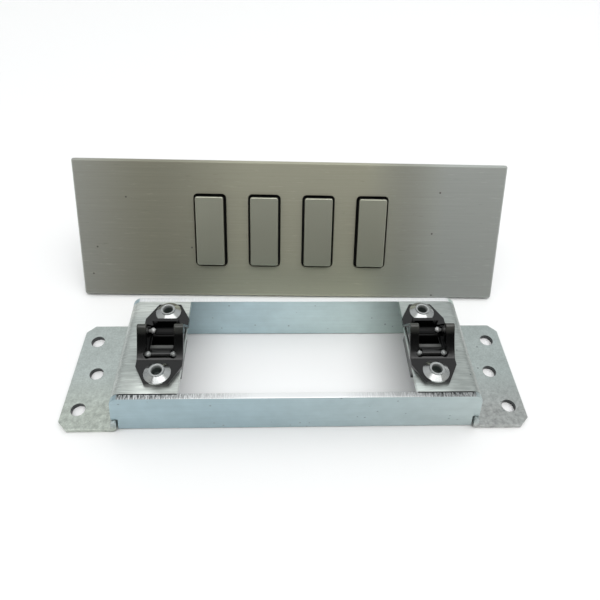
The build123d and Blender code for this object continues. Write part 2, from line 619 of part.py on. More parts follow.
def frame_nodes():
    """Pieces of the mounting frame and its catches, in place."""
    right = end_bracket()
    rail_y = (FRAME_DEPTH - SHEET) / 2
    nodes = {
        "end_bracket_right": right,
        "end_bracket_left": mirror(right, about=Plane.YZ),
        "front_rail": Pos(0, -rail_y, 0) * rail(),
        "rear_rail": Pos(0, rail_y, 0) * rail(),
    }
    rivets = []
    for side, x in (("left", -CATCH_X), ("right", CATCH_X)):
        seat = Pos(x, 0, FRAME_HEIGHT)
        nodes["catch_body_" + side] = seat * catch_body()
        for end, turn, lip in (("front", 180, FRONT_LIP), ("rear", 0, REAR_LIP)):
            place = seat * Rot(0, 0, turn)
            nodes[end + "_jaw_" + side] = place * jaw(lip)
            nodes[end + "_jaw_pin_" + side] = place * jaw_pin()
            nodes[end + "_jaw_spring_" + side] = place * jaw_spring()
            rivets.append(place * Pos(0, RIVET_Y, 0) * rivet())
    nodes["catch_rivets"] = rivets
    return nodes


def panel_nodes():
    """Pieces of the panel, upright with the plate's lower back edge at the origin."""
    nodes = {
        "face_plate": face_plate(),
        "key_carrier": key_carrier(),
        "rear_cover": rear_cover(),
        "cover_screws": cover_screws(),
        "circuit_board": circuit_board(),
        "terminal_block": terminal_block(),
        "terminal_screws": terminal_screws(),
        "plate_studs": plate_studs(),
        "stud_nuts": stud_nuts(),
        "strike_left": Pos(-CATCH_X, 0, 0) * strike(),
        "strike_right": Pos(CATCH_X, 0, 0) * strike(),
    }
    for i, x in enumerate(KEY_X, start=1):
        nodes[f"key_{i}"] = key(x)
        nodes[f"switch_body_{i}"] = switch_body(x)
        nodes[f"switch_plunger_{i}"] = switch_plunger(x)
    return nodes


def one_shape(piece):
    """A single solid, or a group of like solids, ready to write."""
    if isinstance(piece, list):
        return Compound(children=[s.solid() for s in piece])
    return piece


os.makedirs("parts", exist_ok=True)
for name, piece in frame_nodes().items():
    export_step(one_shape(piece), f"parts/{name}.step")
for name, piece in panel_nodes().items():
    export_step(PANEL_PLACE * one_shape(piece), f"parts/{name}.step")
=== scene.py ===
"""Looks of the switch panel: a brushed plate with four keys behind its zinc plated mounting frame.

Everything is in metres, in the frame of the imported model: X along the panel, Y towards its back, Z up.
"""
import json
import math

import bmesh
import bpy
from mathutils import Matrix, Vector

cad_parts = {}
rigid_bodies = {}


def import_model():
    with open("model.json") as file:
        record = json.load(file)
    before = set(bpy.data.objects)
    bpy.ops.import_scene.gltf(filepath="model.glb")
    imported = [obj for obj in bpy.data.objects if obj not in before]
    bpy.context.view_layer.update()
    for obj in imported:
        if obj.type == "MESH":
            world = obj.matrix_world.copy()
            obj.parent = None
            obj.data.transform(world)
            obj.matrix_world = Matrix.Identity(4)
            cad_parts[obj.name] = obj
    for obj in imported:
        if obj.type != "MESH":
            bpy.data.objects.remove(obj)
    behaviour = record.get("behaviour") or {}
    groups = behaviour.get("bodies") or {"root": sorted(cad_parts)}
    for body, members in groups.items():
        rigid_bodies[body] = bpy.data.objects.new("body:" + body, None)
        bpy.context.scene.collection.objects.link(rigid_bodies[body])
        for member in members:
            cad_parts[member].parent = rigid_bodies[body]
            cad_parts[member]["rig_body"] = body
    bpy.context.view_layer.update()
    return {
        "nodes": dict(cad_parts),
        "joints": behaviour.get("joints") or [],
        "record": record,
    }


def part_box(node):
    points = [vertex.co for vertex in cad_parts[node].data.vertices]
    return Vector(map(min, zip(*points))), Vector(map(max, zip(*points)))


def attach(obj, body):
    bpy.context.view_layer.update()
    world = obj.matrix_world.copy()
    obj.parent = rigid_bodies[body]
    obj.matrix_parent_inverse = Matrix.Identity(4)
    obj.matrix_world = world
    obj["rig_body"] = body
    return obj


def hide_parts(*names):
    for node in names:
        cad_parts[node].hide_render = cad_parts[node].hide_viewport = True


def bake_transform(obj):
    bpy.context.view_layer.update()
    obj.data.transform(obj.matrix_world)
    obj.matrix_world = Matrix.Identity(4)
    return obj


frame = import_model()
NODES = frame["nodes"]
MM = 0.001

# The panel's place: its keys are pressed along the panel's inward normal
PRESS = Vector(next(j["axis"] for j in frame["joints"] if j["name"] == "key_1_press"))
PANEL_LEAN = math.asin(-PRESS.z)
PANEL_YAW = math.atan2(-PRESS.x, PRESS.y)
PANEL_FOOT = Vector((-1.6, 42.8, 0)) * MM
PLATE_HEIGHT = 57.0 * MM
PLATE_THICKNESS = 3.0 * MM
KEY_FRONT = -PLATE_THICKNESS - 2.6 * MM

# The frame's upper face, and the rivets in it: section of a rivet in millimetres from its axis and the face
FRAME_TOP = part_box("front_rail")[1].z
RIVET_X = (-47.25, 47.25)
RIVET_Y = (-13.35, 13.35)
RIVET_SECTION = (
    (0, -0.3), (1.65, -0.3), (1.8, -0.15), (1.8, 3.3), (1.95, 3.6), (2.05, 3.68), (2.46, 3.68),
    (2.56, 3.63), (2.64, 3.22), (4.46, 2.03), (4.55, 1.94), (4.55, 1.6), (2.45, 1.6), (2.45, -2.0),
    (3.5, -2.0), (3.6, -2.1), (3.6, -2.5), (2.45, -3.0), (0, -3.0))
RIVET_STEPS = 64
BORE_RADIUS = 2.06 * MM
BORE_FLOOR = FRAME_TOP - 1.0 * MM
BORE_RIM = FRAME_TOP + 3.68 * MM
# Heights over which the painted shade deep in the bores fades out towards the rim
BORE_SHADE_SPAN = (FRAME_TOP + 1.9 * MM, FRAME_TOP + 3.3 * MM)

# The flanges' screw holes, on one side of the frame
SCREW_HOLES = ((78.75 * MM, 15.25 * MM, 0), (75.75 * MM, 0, 0))
SCREW_HOLE_RADIUS = 2.5 * MM
HOLE_WALL = (SCREW_HOLE_RADIUS + 0.15 * MM, SCREW_HOLE_RADIUS + 0.05 * MM)

# The catches: their rounded crests and the front jaws' beaks, where highlights are painted, and the pins'
# beads from the middle of a catch
CATCH_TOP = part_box("catch_body_left")[1].z
CREST = (CATCH_TOP - 2.3 * MM, CATCH_TOP - 0.2 * MM)
FRONT_BEAK = (-3.5 * MM, -3.1 * MM)
BEAD = (3.3 * MM, 3.4 * MM)

# A jaw's leaf spring: the lengths that it is cut into
LEAF_STEPS = 10

# Finishing of the pieces: which facets count as one face, and which edges are sharp
JOIN_WITHIN = 0.001 * MM
FLAT_ANGLE = math.radians(1)
SHARP_ANGLE = math.radians(35)
CREASE_ANGLE = math.radians(40)

# Camera at the photograph's viewing angle
IMAGE_WIDTH = 600
FOCAL_PIXELS = 507.9
SENSOR_WIDTH = 36.0
CAMERA_PLACE = Vector((-5.98, -109.93, 166.46)) * MM
CAMERA_PITCH = math.radians(48.06)
CAMERA_YAW = math.radians(3.32)
CAMERA_ROLL = math.radians(2.41)
CAMERA_NEAR = 5.0 * MM

# Floor, and lamps with their place, aim, size and power
FLOOR_SIZE = 6.0
FLOOR_WHITE = ((0.86, 0.865, 0.865, 1), (0.88, 0.88, 0.88, 1))
FLOOR_ROUGHNESS = 0.6
LAMPS = {
    "key": ((0.30, 0.10, 0.70), (0, 0.03, 0), 0.5, 1.1),
    "fill": ((-0.45, -0.10, 0.55), (-0.05, 0.03, 0), 0.4, 0.25),
}

# Sky, by direction: its front and back tones, a dark band in front, and a bright panel above
SKY_FRONT = (0.68, 0.67, 0.63, 1)
SKY_BACK = (0.93, 0.95, 0.96, 1)
SKY_TURN = (-0.75, 0.35)
SKY_HORIZON = (0.05, 0.60, 0.55, 1.0)
SKY_STRENGTH = 0.93
BAND_FOOT = (0.36, 0.44)
BAND_HEAD = (0.86, 0.74)
BAND_FRONT = (-0.35, -0.55)
BAND_DARK = (0.03, 0.03, 0.03, 1)
PANEL_SIDES = (-0.60, 0.80)
PANEL_ENDS = (0.02, 0.80)
PANEL_RIM = 0.04
PANEL_FADE = 0.10
PANEL_LIGHT = (3.0, 3.0, 3.0, 1)
LEAST_RISE = 0.05
BACKDROP = (1.05, 1.05, 1.05, 1)

# Noises, as scale, detail and roughness, and the stretch of the shear marks
LINE_NOISE = (1.0, 3.0, 0.6)
LACQUER_GRAIN = (2500.0, 3.0, 0.6)
PLASTIC_GRAIN = (1800.0, 3.0, 0.6)
TURNING_MARKS = (900.0, 3.0, 0.6)
FINE_CRYSTALS = (1500.0, 2.0, 0.55)
COARSE_CRYSTALS = (480.0, 3.0, 0.65)
SHEAR_MARKS = (1.0, 2.0, 0.7)
SHEAR_STRETCH = (2500.0, 450.0, 1.0)


def add(tree, kind, values=None, **settings):
    """New node with its settings. A value is set on its input, or linked where it is a socket."""
    node = tree.nodes.new(kind)
    for name, value in settings.items():
        setattr(node, name, value)
    for name, value in (values or {}).items():
        if isinstance(value, bpy.types.NodeSocket):
            tree.links.new(value, node.inputs[name])
        else:
            node.inputs[name].default_value = value
    return node


def math_node(tree, operation, first, second=0.0):
    """Result of one sum on two values."""
    return add(tree, "ShaderNodeMath", {0: first, 1: second}, operation=operation).outputs[0]


def times(tree, first, second):
    """Product of two values."""
    return math_node(tree, "MULTIPLY", first, second)


def unsigned(tree, value):
    """Value without its sign, for what is the same on both sides."""
    return math_node(tree, "ABSOLUTE", value)


def axes(tree, places):
    """The three coordinates of the places."""
    return add(tree, "ShaderNodeSeparateXYZ", {0: places}).outputs


def remap(tree, value, low, high, to_low=0.0, to_high=1.0):
    """Value stretched from one range to another and kept inside it."""
    values = {"Value": value, "From Min": low, "From Max": high, "To Min": to_low, "To Max": to_high}
    return add(tree, "ShaderNodeMapRange", values, clamp=True).outputs["Result"]


def near(tree, value, centre, reach):
    """One at a centre, falling softly to nought at its reach."""
    away = unsigned(tree, math_node(tree, "SUBTRACT", value, centre))
    values = {"Value": away, "From Max": reach, "To Min": 1.0, "To Max": 0.0}
    return add(tree, "ShaderNodeMapRange", values, interpolation_type="SMOOTHSTEP").outputs["Result"]


def between(tree, value, low, high, fade):
    """One between two limits, with a soft rim that is as wide as the fade at the upper one."""
    rise = remap(tree, value, low, low + PANEL_RIM)
    return times(tree, rise, remap(tree, value, high, high - fade))


def mix_colour(tree, factor, first, second, blend="MIX"):
    """Two colours mixed by a factor."""
    node = add(tree, "ShaderNodeMix", {0: factor, 6: first, 7: second}, data_type="RGBA", blend_type=blend)
    return node.outputs[2]


def mix_value(tree, factor, first, second):
    """Two values mixed by a factor."""
    return add(tree, "ShaderNodeMix", {0: factor, 2: first, 3: second}, data_type="FLOAT").outputs[0]


def shaded(tree, colour, shade):
    """Colour made lighter or darker by a value about one."""
    grey = add(tree, "ShaderNodeCombineColor", {0: shade, 1: shade, 2: shade}).outputs[0]
    return mix_colour(tree, 1.0, colour, grey, "MULTIPLY")


def noise(tree, vector, scale, detail=2.0, roughness=0.5):
    """Value of a noise that reads places in metres."""
    values = {"Vector": vector, "Scale": scale, "Detail": detail, "Roughness": roughness}
    return add(tree, "ShaderNodeTexNoise", values).outputs["Fac"]


def stretched(tree, vector, scale):
    """Places scaled by a different amount along each axis."""
    return add(tree, "ShaderNodeMapping", {"Vector": vector, "Scale": scale}).outputs[0]


def new_group(name, inputs, output):
    """Empty node group with named sockets. Returns the tree and the ends to link."""
    tree = bpy.data.node_groups.new(name, "ShaderNodeTree")
    tree.interface.new_socket("Vector", in_out="INPUT", socket_type="NodeSocketVector")
    for label, value in inputs.items():
        socket = tree.interface.new_socket(label, in_out="INPUT", socket_type="NodeSocketFloat")
        socket.default_value = value
    tree.interface.new_socket(output, in_out="OUTPUT", socket_type="NodeSocketFloat")
    return tree, tree.nodes.new("NodeGroupInput").outputs, tree.nodes.new("NodeGroupOutput").inputs[output]


def lines_group():
    """Fine parallel lines, as a brush or a roll leaves them, along the first axis."""
    tree, given, out = new_group("brush_lines", {"Along": 40.0, "Across": 3000.0}, "Lines")
    scale = add(tree, "ShaderNodeCombineXYZ", {0: given["Along"], 1: given["Across"], 2: given["Across"]})
    places = stretched(tree, given["Vector"], scale.outputs[0])
    tree.links.new(noise(tree, places, *LINE_NOISE), out)
    return tree


def specks_group(name, dimensions):
    """Sparse round specks: a mask that is one inside a speck."""
    tree, given, out = new_group(name, {"Scale": 200.0, "Amount": 0.1, "Size": 0.2}, "Mask")
    values = {"Vector": given["Vector"], "Scale": given["Scale"]}
    cells = add(tree, "ShaderNodeTexVoronoi", values, voronoi_dimensions=dimensions)
    chance = add(tree, "ShaderNodeSeparateColor", {0: cells.outputs["Color"]}).outputs[0]
    chosen = math_node(tree, "LESS_THAN", chance, given["Amount"])
    reach = math_node(tree, "DIVIDE", cells.outputs["Distance"], given["Size"])
    tree.links.new(times(tree, chosen, remap(tree, reach, 1.0, 0.6)), out)
    return tree


def clouds_group():
    """Soft blotches between nought and one."""
    tree, given, out = new_group("clouds", {"Scale": 60.0, "Contrast": 0.2}, "Value")
    field = noise(tree, given["Vector"], given["Scale"], 4.0, 0.55)
    low = math_node(tree, "SUBTRACT", 0.5, given["Contrast"])
    high = math_node(tree, "ADD", 0.5, given["Contrast"])
    tree.links.new(remap(tree, field, low, high), out)
    return tree


LINES = lines_group()
SPECKS = specks_group("specks", "3D")
SHEET_SPECKS = specks_group("sheet_specks", "2D")
CLOUDS = clouds_group()


def use(tree, group, vector, **values):
    """A shared effect placed in a material with its own values."""
    return add(tree, "ShaderNodeGroup", {"Vector": vector, **values}, node_tree=group).outputs[0]


def new_material(name, metallic=0.0):
    """Material with its node tree, its shader and the piece's own coordinates."""
    material = bpy.data.materials.new(name)
    material.use_nodes = True
    tree = material.node_tree
    surface = tree.nodes["Principled BSDF"]
    surface.inputs["Metallic"].default_value = metallic
    places = tree.nodes.new("ShaderNodeTexCoord").outputs["Object"]
    return material, tree, surface, places


def on_panel(tree, places):
    """Places counted along the panel, behind its plate and up it."""
    values = {"Vector": places, "Location": PANEL_FOOT, "Rotation": (-PANEL_LEAN, 0, PANEL_YAW)}
    return add(tree, "ShaderNodeMapping", values, vector_type="TEXTURE").outputs[0]


def bump(tree, surface, height, strength, distance):
    """Height that tilts the surface's normal."""
    values = {"Height": height, "Strength": strength, "Distance": distance}
    tree.links.new(add(tree, "ShaderNodeBump", values).outputs[0], surface.inputs["Normal"])


def colour_of(tree, surface, colour, roughness):
    """Links a colour and a roughness to the shader."""
    tree.links.new(colour, surface.inputs["Base Color"])
    tree.links.new(roughness, surface.inputs["Roughness"])


# The plate's colours, warm steel cooled towards its ends by painted reflections, and where they change
# along it, and its painted dark reflection bands: place, reach and depth
WARM_STEEL = (0.390, 0.386, 0.302, 1)
RIGHT_END_REFLECTION = (0.365, 0.384, 0.365, 1)
RIGHT_REFLECTION_SPAN = (30 * MM, 65 * MM)
LEFT_END_REFLECTION = (0.340, 0.348, 0.322, 1)
LEFT_REFLECTION_SPAN = (-60 * MM, -92 * MM)
REFLECTED_DARK_BANDS = ((-57 * MM, 45 * MM, 0.37), (47 * MM, 18 * MM, 0.18))

# Shades of the plate: its ends grow lighter towards the top as painted shade below and painted light above,
# and its brushing has light and dark dashes
END_SPAN = (30 * MM, 70 * MM)
END_PAINTED_SHADING = (0.0, PLATE_HEIGHT, -0.10, 0.10)
FINE_SHADES = (0.0, 1.0, 0.98, 1.06)
LIGHT_DASHES = (0.62, 0.72, 1.0, 1.15)
DARK_DASHES = (0.34, 0.26, 1.0, 0.86)
SPECK_COLOUR = (0.10, 0.095, 0.085, 1)
SPECK_SHIFT = (0.371, 0.117, 0)
PLATE_ROUGHNESS = (0.0, 1.0, 0.54, 0.46)


def plate_steel():
    """Steel brushed along the plate: warm in the middle, cooler at its ends by painted reflection, with a
    few dark specks.
    """
    material, tree, surface, places = new_material("brushed_plate", metallic=0.6)
    panel = on_panel(tree, places)
    along, _, height = axes(tree, panel)
    lines = use(tree, LINES, panel, Along=25.0, Across=3600.0)
    fine = remap(tree, lines, 0.30, 0.70)
    dashes = use(tree, LINES, panel, Along=150.0, Across=1500.0)
    # Painted reflections: a cooler right end and a darker, cooler left end
    colour = mix_colour(tree, remap(tree, along, *RIGHT_REFLECTION_SPAN), WARM_STEEL, RIGHT_END_REFLECTION)
    colour = mix_colour(tree, remap(tree, along, *LEFT_REFLECTION_SPAN), colour, LEFT_END_REFLECTION)
    # Painted reflection: two soft dark bands across the plate
    for centre, reach, depth in REFLECTED_DARK_BANDS:
        band = near(tree, along, centre, reach)
        colour = shaded(tree, colour, remap(tree, band, 0.0, 1.0, 1.0, 1.0 - depth))
    # Painted shade and light: the plate's ends darker at the bottom and lighter at the top
    ends = remap(tree, unsigned(tree, along), *END_SPAN)
    rise = times(tree, ends, remap(tree, height, *END_PAINTED_SHADING))
    colour = shaded(tree, colour, math_node(tree, "ADD", rise, 1.0))
    colour = shaded(tree, colour, remap(tree, fine, *FINE_SHADES))
    colour = shaded(tree, colour, remap(tree, dashes, *LIGHT_DASHES))
    colour = shaded(tree, colour, remap(tree, dashes, *DARK_DASHES))
    values = {"Vector": panel, "Location": SPECK_SHIFT, "Rotation": (math.pi / 2, 0, 0)}
    sheet = add(tree, "ShaderNodeMapping", values).outputs[0]
    dirt = use(tree, SHEET_SPECKS, sheet, Scale=70.0, Amount=0.34, Size=0.032)
    colour = mix_colour(tree, dirt, colour, SPECK_COLOUR)
    colour_of(tree, surface, colour, remap(tree, fine, *PLATE_ROUGHNESS))
    bump(tree, surface, lines, strength=0.08, distance=0.02 * MM)
    return material


# The keys: lacquer on their fronts, with painted light a little lighter towards the top, and black sides
KEY_LACQUER = ((0.388, 0.398, 0.328, 1), (0.468, 0.478, 0.398, 1))
KEY_BLACK = (0.010, 0.010, 0.010, 1)
KEY_PAINTED_LIGHT = (0.5 * PLATE_HEIGHT, 0.76 * PLATE_HEIGHT, 1.01, 1.10)
LACQUER_END = (KEY_FRONT + 0.65 * MM, KEY_FRONT + 0.5 * MM)
KEY_ROUGHNESS = (0.3, 0.7, 0.48, 0.42)


def key_lacquer():
    """Satin metallic face on a black moulded key, with painted light towards the face's top."""
    material, tree, surface, places = new_material("key_lacquer")
    panel = on_panel(tree, places)
    _, depth, height = axes(tree, panel)
    face = remap(tree, depth, *LACQUER_END)
    grain = noise(tree, panel, *LACQUER_GRAIN)
    # Painted light: the lacquer grows a little lighter towards the top
    lacquer = shaded(tree, mix_colour(tree, grain, *KEY_LACQUER), remap(tree, height, *KEY_PAINTED_LIGHT))
    tree.links.new(face, surface.inputs["Metallic"])
    colour = mix_colour(tree, face, KEY_BLACK, lacquer)
    colour_of(tree, surface, colour, remap(tree, grain, *KEY_ROUGHNESS))
    bump(tree, surface, grain, strength=0.08, distance=0.02 * MM)
    return material


# The flanges' tones from the middle to the front, set apart left and right by painted reflection, the walls
# above them, and painted shade on the walls of the holes
# Painted reflection: the left flange lighter, the right one darker towards its front
LEFT_FLANGE = ((0.485, 0.535, 0.515, 1), (0.480, 0.520, 0.470, 1))
RIGHT_FLANGE = ((0.430, 0.480, 0.465, 1), (0.385, 0.400, 0.388, 1))
RIGHT_SIDE = (-10 * MM, 10 * MM)
FLANGE_FRONT = (0.0, -16 * MM)
BRACKET_WALL = (0.385, 0.430, 0.425, 1)
WALL_FOOT = (2.5 * MM, 4.0 * MM)
BLOTCH_SHADES = (0.0, 1.0, 0.93, 1.07)
CRYSTAL_SHADES = (0.32, 0.68, 0.91, 1.09)
COARSE_SHADES = (0.34, 0.66, -0.19, 0.19)
COARSE_FRONT = (-6 * MM, -16 * MM, 0.25, 1.0)
BRACKET_PIT = (0.20, 0.225, 0.22, 1)
HOLE_PAINTED_SHADE = (0.07, 0.075, 0.075, 1)
BRACKET_ROUGHNESS = (0.0, 1.0, 0.44, 0.34)


def flange_tone(tree, x, y, z, blotch):
    """Colour of the flanges, with painted reflection, and of the walls above them."""
    front = remap(tree, y, *FLANGE_FRONT)
    left = mix_colour(tree, front, *LEFT_FLANGE)
    right = mix_colour(tree, front, *RIGHT_FLANGE)
    colour = mix_colour(tree, remap(tree, x, *RIGHT_SIDE), left, right)
    colour = mix_colour(tree, remap(tree, z, *WALL_FOOT), colour, BRACKET_WALL)
    return shaded(tree, colour, remap(tree, blotch, *BLOTCH_SHADES))


# The lugs: where they begin, their ends on the left made pale by painted light, the right lug darkened
# outwards by painted shade, and a painted highlight strip before each catch
LUG_FOOT = (15 * MM, 19 * MM)
LUG_ZINC = ((0.42, 0.455, 0.435, 1), (0.50, 0.54, 0.515, 1))
LUG_PAINTED_LIGHT = (0.63, 0.665, 0.63, 1)
PALE_ENDS = (10.5 * MM, 15.5 * MM)
PALE_LEFT = (0.0, -10 * MM)
PALE_CORNER = (-50 * MM, -60 * MM)
PALE_CORNER_FRONT = (0.0, -10 * MM, 1.0, 0.35)
RIGHT_LUG_PAINTED_SHADE = (44 * MM, 56 * MM, 1.0, 0.87)
LEFT_STRIP = (-51 * MM, 6 * MM)
RIGHT_STRIP = (53 * MM, 47 * MM, 0.0, 1.6)
STRIP_FRONT = (-16.0 * MM, -17.5 * MM)
STRIP_PAINTED_LIGHT = (0.0, 1.6, 1.0, 1.56)
BRUSHED_SHADES = (0.40, 0.68, 0.88, 1.18)


def lug_tone(tree, x, y, blotch):
    """Colour of the lugs, with painted light and shade."""
    # Painted light: the left lug's ends made pale, less so at its outer front corner
    painted_light = times(tree, remap(tree, unsigned(tree, y), *PALE_ENDS), remap(tree, x, *PALE_LEFT))
    corner = mix_value(tree, remap(tree, x, *PALE_CORNER), 1.0, remap(tree, y, *PALE_CORNER_FRONT))
    colour = mix_colour(tree, blotch, *LUG_ZINC)
    colour = mix_colour(tree, times(tree, painted_light, corner), colour, LUG_PAINTED_LIGHT)
    # Painted shade: the right lug darkens towards its outer side
    colour = shaded(tree, colour, remap(tree, x, *RIGHT_LUG_PAINTED_SHADE))
    # Painted light: a bright strip on each lug's front edge before its catch, over the ear's shade
    right = remap(tree, x, *RIGHT_SIDE)
    strip = mix_value(tree, right, near(tree, x, *LEFT_STRIP), remap(tree, x, *RIGHT_STRIP))
    strip = times(tree, remap(tree, y, *STRIP_FRONT), strip)
    return shaded(tree, colour, remap(tree, strip, *STRIP_PAINTED_LIGHT))


def hole_wall(tree, x, y, centre):
    """One on the wall of a screw hole, on either side of the frame and at either end of the flange."""
    place = add(tree, "ShaderNodeCombineXYZ", {0: unsigned(tree, x), 1: unsigned(tree, y)}).outputs[0]
    away = add(tree, "ShaderNodeVectorMath", {0: place, 1: centre}, operation="DISTANCE").outputs["Value"]
    return remap(tree, away, *HOLE_WALL)


def bracket_zinc():
    """Zinc plated brackets: warm brushed lugs above, cooler flanges with crystals below, with painted
    light, reflection and shade.
    """
    material, tree, surface, places = new_material("bracket_zinc", metallic=1.0)
    x, y, z = axes(tree, places)
    lug = remap(tree, z, *LUG_FOOT)
    blotch = use(tree, CLOUDS, places, Scale=120.0, Contrast=0.25)
    streaks = use(tree, LINES, places, Along=150.0, Across=1500.0)
    crystals = remap(tree, noise(tree, places, *FINE_CRYSTALS), *CRYSTAL_SHADES)
    coarse = remap(tree, noise(tree, places, *COARSE_CRYSTALS), *COARSE_SHADES)
    mottle = math_node(tree, "ADD", times(tree, coarse, remap(tree, y, *COARSE_FRONT)), crystals)
    below = shaded(tree, flange_tone(tree, x, y, z, blotch), mottle)
    above = shaded(tree, lug_tone(tree, x, y, blotch), remap(tree, streaks, *BRUSHED_SHADES))
    colour = mix_colour(tree, lug, below, above)
    pits = use(tree, SPECKS, places, Scale=420.0, Amount=0.10, Size=0.16)
    colour = mix_colour(tree, pits, colour, BRACKET_PIT)
    # Painted shade on the walls of the screw holes
    for centre in SCREW_HOLES:
        colour = mix_colour(tree, hole_wall(tree, x, y, centre), colour, HOLE_PAINTED_SHADE)
    colour_of(tree, surface, colour, remap(tree, blotch, *BRACKET_ROUGHNESS))
    relief = math_node(tree, "ADD", times(tree, streaks, lug), crystals)
    bump(tree, surface, relief, strength=0.14, distance=0.03 * MM)
    return material


# The rails' colours from left to right, with painted reflection along them and a rear rail made lighter by
# it, and the shades of their blotches, smudges and rolling lines
# Painted reflection: both rails change from left to right, and the rear rail is lighter
FRONT_RAIL = ((0.38, 0.494, 0.535, 1), (0.445, 0.52, 0.522, 1))
REAR_RAIL = ((0.464, 0.588, 0.625, 1), (0.62, 0.72, 0.67, 1))
RAIL_SPAN = (-20 * MM, 60 * MM)
REAR_SIDE = (0.0, 10 * MM)
FRONT_SIDE = (0.0, -10 * MM)
RAIL_BLOTCHES = (0.0, 1.0, 0.94, 1.05)
RAIL_SMUDGES = (0.0, 1.0, 0.955, 1.03)
ROLLED_SHADES = (0.35, 0.65, 0.97, 1.03)
RAIL_PIT = (0.26, 0.31, 0.33, 1)
RAIL_ROUGHNESS = (0.0, 1.0, 0.40, 0.32)

# The rails' cut upper edge: bright, with shear marks towards both ends and a dark seam along the lugs
CUT_EDGE = (FRAME_TOP - 0.35 * MM, FRAME_TOP - 0.15 * MM)
CUT_BRIGHT = (0.97, 0.98, 0.98, 1)
MARK_COLOURS = ((0.08, 0.09, 0.09, 1), (0.84, 0.87, 0.87, 1))
MARK_SHADES = (-36 * MM, 36 * MM, 0.78, 0.46)
MARK_SPAN = (14 * MM, 48 * MM)
MARK_SIDE = (0.0, -10 * MM, 0.15, 1.0)
RAIL_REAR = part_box("front_rail")[1].y
MARK_DEPTH = (RAIL_REAR - 1.35 * MM, RAIL_REAR - 1.05 * MM, 0.90, 1.0)
SEAM = (RAIL_REAR - 0.55 * MM, RAIL_REAR - 0.40 * MM)
SEAM_DARK = (0.03, 0.032, 0.032, 1)
LUG_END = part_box("end_bracket_right")[0].x


def cut_edge(tree, x, y, sheared):
    """Colour of the rails' cut upper edge."""
    out = unsigned(tree, x)
    reach = times(tree, remap(tree, out, *MARK_SPAN), remap(tree, y, *MARK_SIDE))
    reach = times(tree, reach, remap(tree, y, *MARK_DEPTH))
    marks = mix_colour(tree, remap(tree, sheared, 0.44, 0.60), *MARK_COLOURS)
    marks = shaded(tree, marks, remap(tree, x, *MARK_SHADES))
    colour = mix_colour(tree, reach, CUT_BRIGHT, marks)
    seam = times(tree, remap(tree, y, *SEAM), remap(tree, y, *FRONT_SIDE))
    along_lug = math_node(tree, "SUBTRACT", 1.0, math_node(tree, "LESS_THAN", out, LUG_END))
    return mix_colour(tree, times(tree, seam, along_lug), colour, SEAM_DARK)


def rail_zinc():
    """Zinc plated rails: bluish and softly blotched, with painted reflection along them, with pits, and
    with a cut upper edge.
    """
    material, tree, surface, places = new_material("rail_zinc", metallic=1.0)
    x, y, z = axes(tree, places)
    blotch = use(tree, CLOUDS, places, Scale=90.0, Contrast=0.30)
    smudges = use(tree, CLOUDS, places, Scale=220.0, Contrast=0.20)
    rolled = use(tree, LINES, places, Along=30.0, Across=900.0)
    right = remap(tree, x, *RAIL_SPAN)
    front = mix_colour(tree, right, *FRONT_RAIL)
    rear = mix_colour(tree, right, *REAR_RAIL)
    colour = mix_colour(tree, remap(tree, y, *REAR_SIDE), front, rear)
    colour = shaded(tree, colour, remap(tree, blotch, *RAIL_BLOTCHES))
    colour = shaded(tree, colour, remap(tree, smudges, *RAIL_SMUDGES))
    colour = shaded(tree, colour, remap(tree, rolled, *ROLLED_SHADES))
    pits = use(tree, SPECKS, places, Scale=300.0, Amount=0.30, Size=0.14)
    colour = mix_colour(tree, pits, colour, RAIL_PIT)
    edge = remap(tree, z, *CUT_EDGE)
    sheared = noise(tree, stretched(tree, places, SHEAR_STRETCH), *SHEAR_MARKS)
    colour = mix_colour(tree, edge, colour, cut_edge(tree, x, y, sheared))
    colour_of(tree, surface, colour, remap(tree, blotch, *RAIL_ROUGHNESS))
    relief = math_node(tree, "ADD", rolled, times(tree, sheared, edge))
    bump(tree, surface, relief, strength=0.12, distance=0.04 * MM)
    return material


def moulded(name, colours, rough, sheen=0.5, painted_highlight=None):
    """Moulded plastic with a fine grain and a faint bloom. Painted highlight: an axis, a span on it and two
    tones.
    """
    material, tree, surface, places = new_material(name)
    surface.inputs["Specular IOR Level"].default_value = sheen
    grain = noise(tree, places, *PLASTIC_GRAIN)
    bloom = use(tree, CLOUDS, places, Scale=180.0, Contrast=0.25)
    colour = mix_colour(tree, bloom, *colours)
    if painted_highlight:
        axis, span, painted_light = painted_highlight
        mask = remap(tree, axes(tree, places)[axis], *span)
        colour = mix_colour(tree, mask, colour, mix_colour(tree, bloom, *painted_light))
    colour_of(tree, surface, colour, remap(tree, grain, 0.25, 0.75, rough * 1.15, rough * 0.85))
    bump(tree, surface, grain, strength=0.2 * rough, distance=0.03 * MM)
    return material


def turned(tree, places):
    """Faint turning marks, as a value about a half."""
    return noise(tree, places, *TURNING_MARKS)


def bright_metal(name, colours, rough):
    """Bright steel with faint turning marks."""
    material, tree, surface, places = new_material(name, metallic=1.0)
    marks = turned(tree, places)
    colour_of(tree, surface, mix_colour(tree, marks, *colours),
              remap(tree, marks, 0.3, 0.7, rough + 0.05, rough - 0.05))
    bump(tree, surface, marks, strength=0.03, distance=0.01 * MM)
    return material


# The rivets' bores, with painted shade deeper down, and the jaw pins: colours, and roughness by turning
# marks
BORE_SHADE_COLOURS = ((0.075, 0.092, 0.086, 1), (0.46, 0.48, 0.475, 1))
BORE_ROUGHNESS = (0.3, 0.7, 0.50, 0.40)
PIN_BLACK = (0.006, 0.006, 0.006, 1)
PIN_ROUGHNESS = (0.3, 0.7, 0.47, 0.37)


